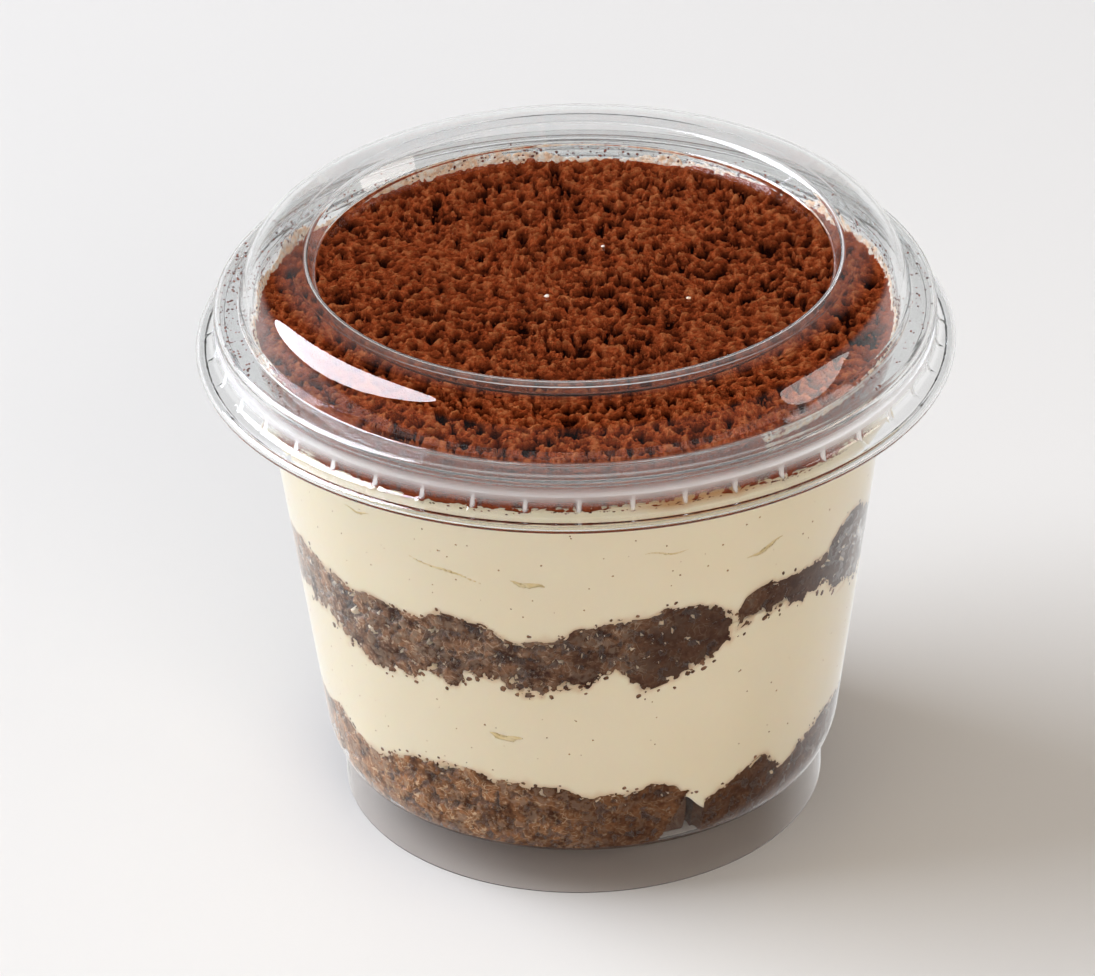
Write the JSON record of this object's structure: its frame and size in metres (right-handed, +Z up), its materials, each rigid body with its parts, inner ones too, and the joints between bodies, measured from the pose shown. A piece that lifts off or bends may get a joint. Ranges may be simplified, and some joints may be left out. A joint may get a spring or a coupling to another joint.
{
  "type": "tiramisu in a lidded cup",
  "caption": "Layered tiramisu in a clear tapered plastic cup: cocoa on cream and soaked sponge, under a clear push-on lid with a sunken panel, on a hollow foot.",
  "frame": {"origin": "centre of the foot's standing edge, on the surface that the cup stands on", "axes": "+Z up along the cup's axis, -Y towards the side that shows the slit in the sponge a little to the right"},
  "size_m": [0.1, 0.1, 0.0803],
  "materials": {
    "clear_plastic": "clear thermoformed PET, glossy",
    "cocoa_powder": "dry sieved cocoa powder, matt and lumpy",
    "mascarpone_cream": "smooth soft cream with a dull sheen",
    "soaked_sponge": "coffee-soaked sponge, crumbly and damp"
  },
  "bodies": {
    "root": {"cup": "clear_plastic", "lid": "clear_plastic", "cocoa": "cocoa_powder", "cream_upper": "mascarpone_cream", "cream_lower": "mascarpone_cream", "sponge_upper_left": "soaked_sponge", "sponge_upper_right": "soaked_sponge", "sponge_lower_left": "soaked_sponge", "sponge_lower_right": "soaked_sponge"}
  },
  "joints": []
}
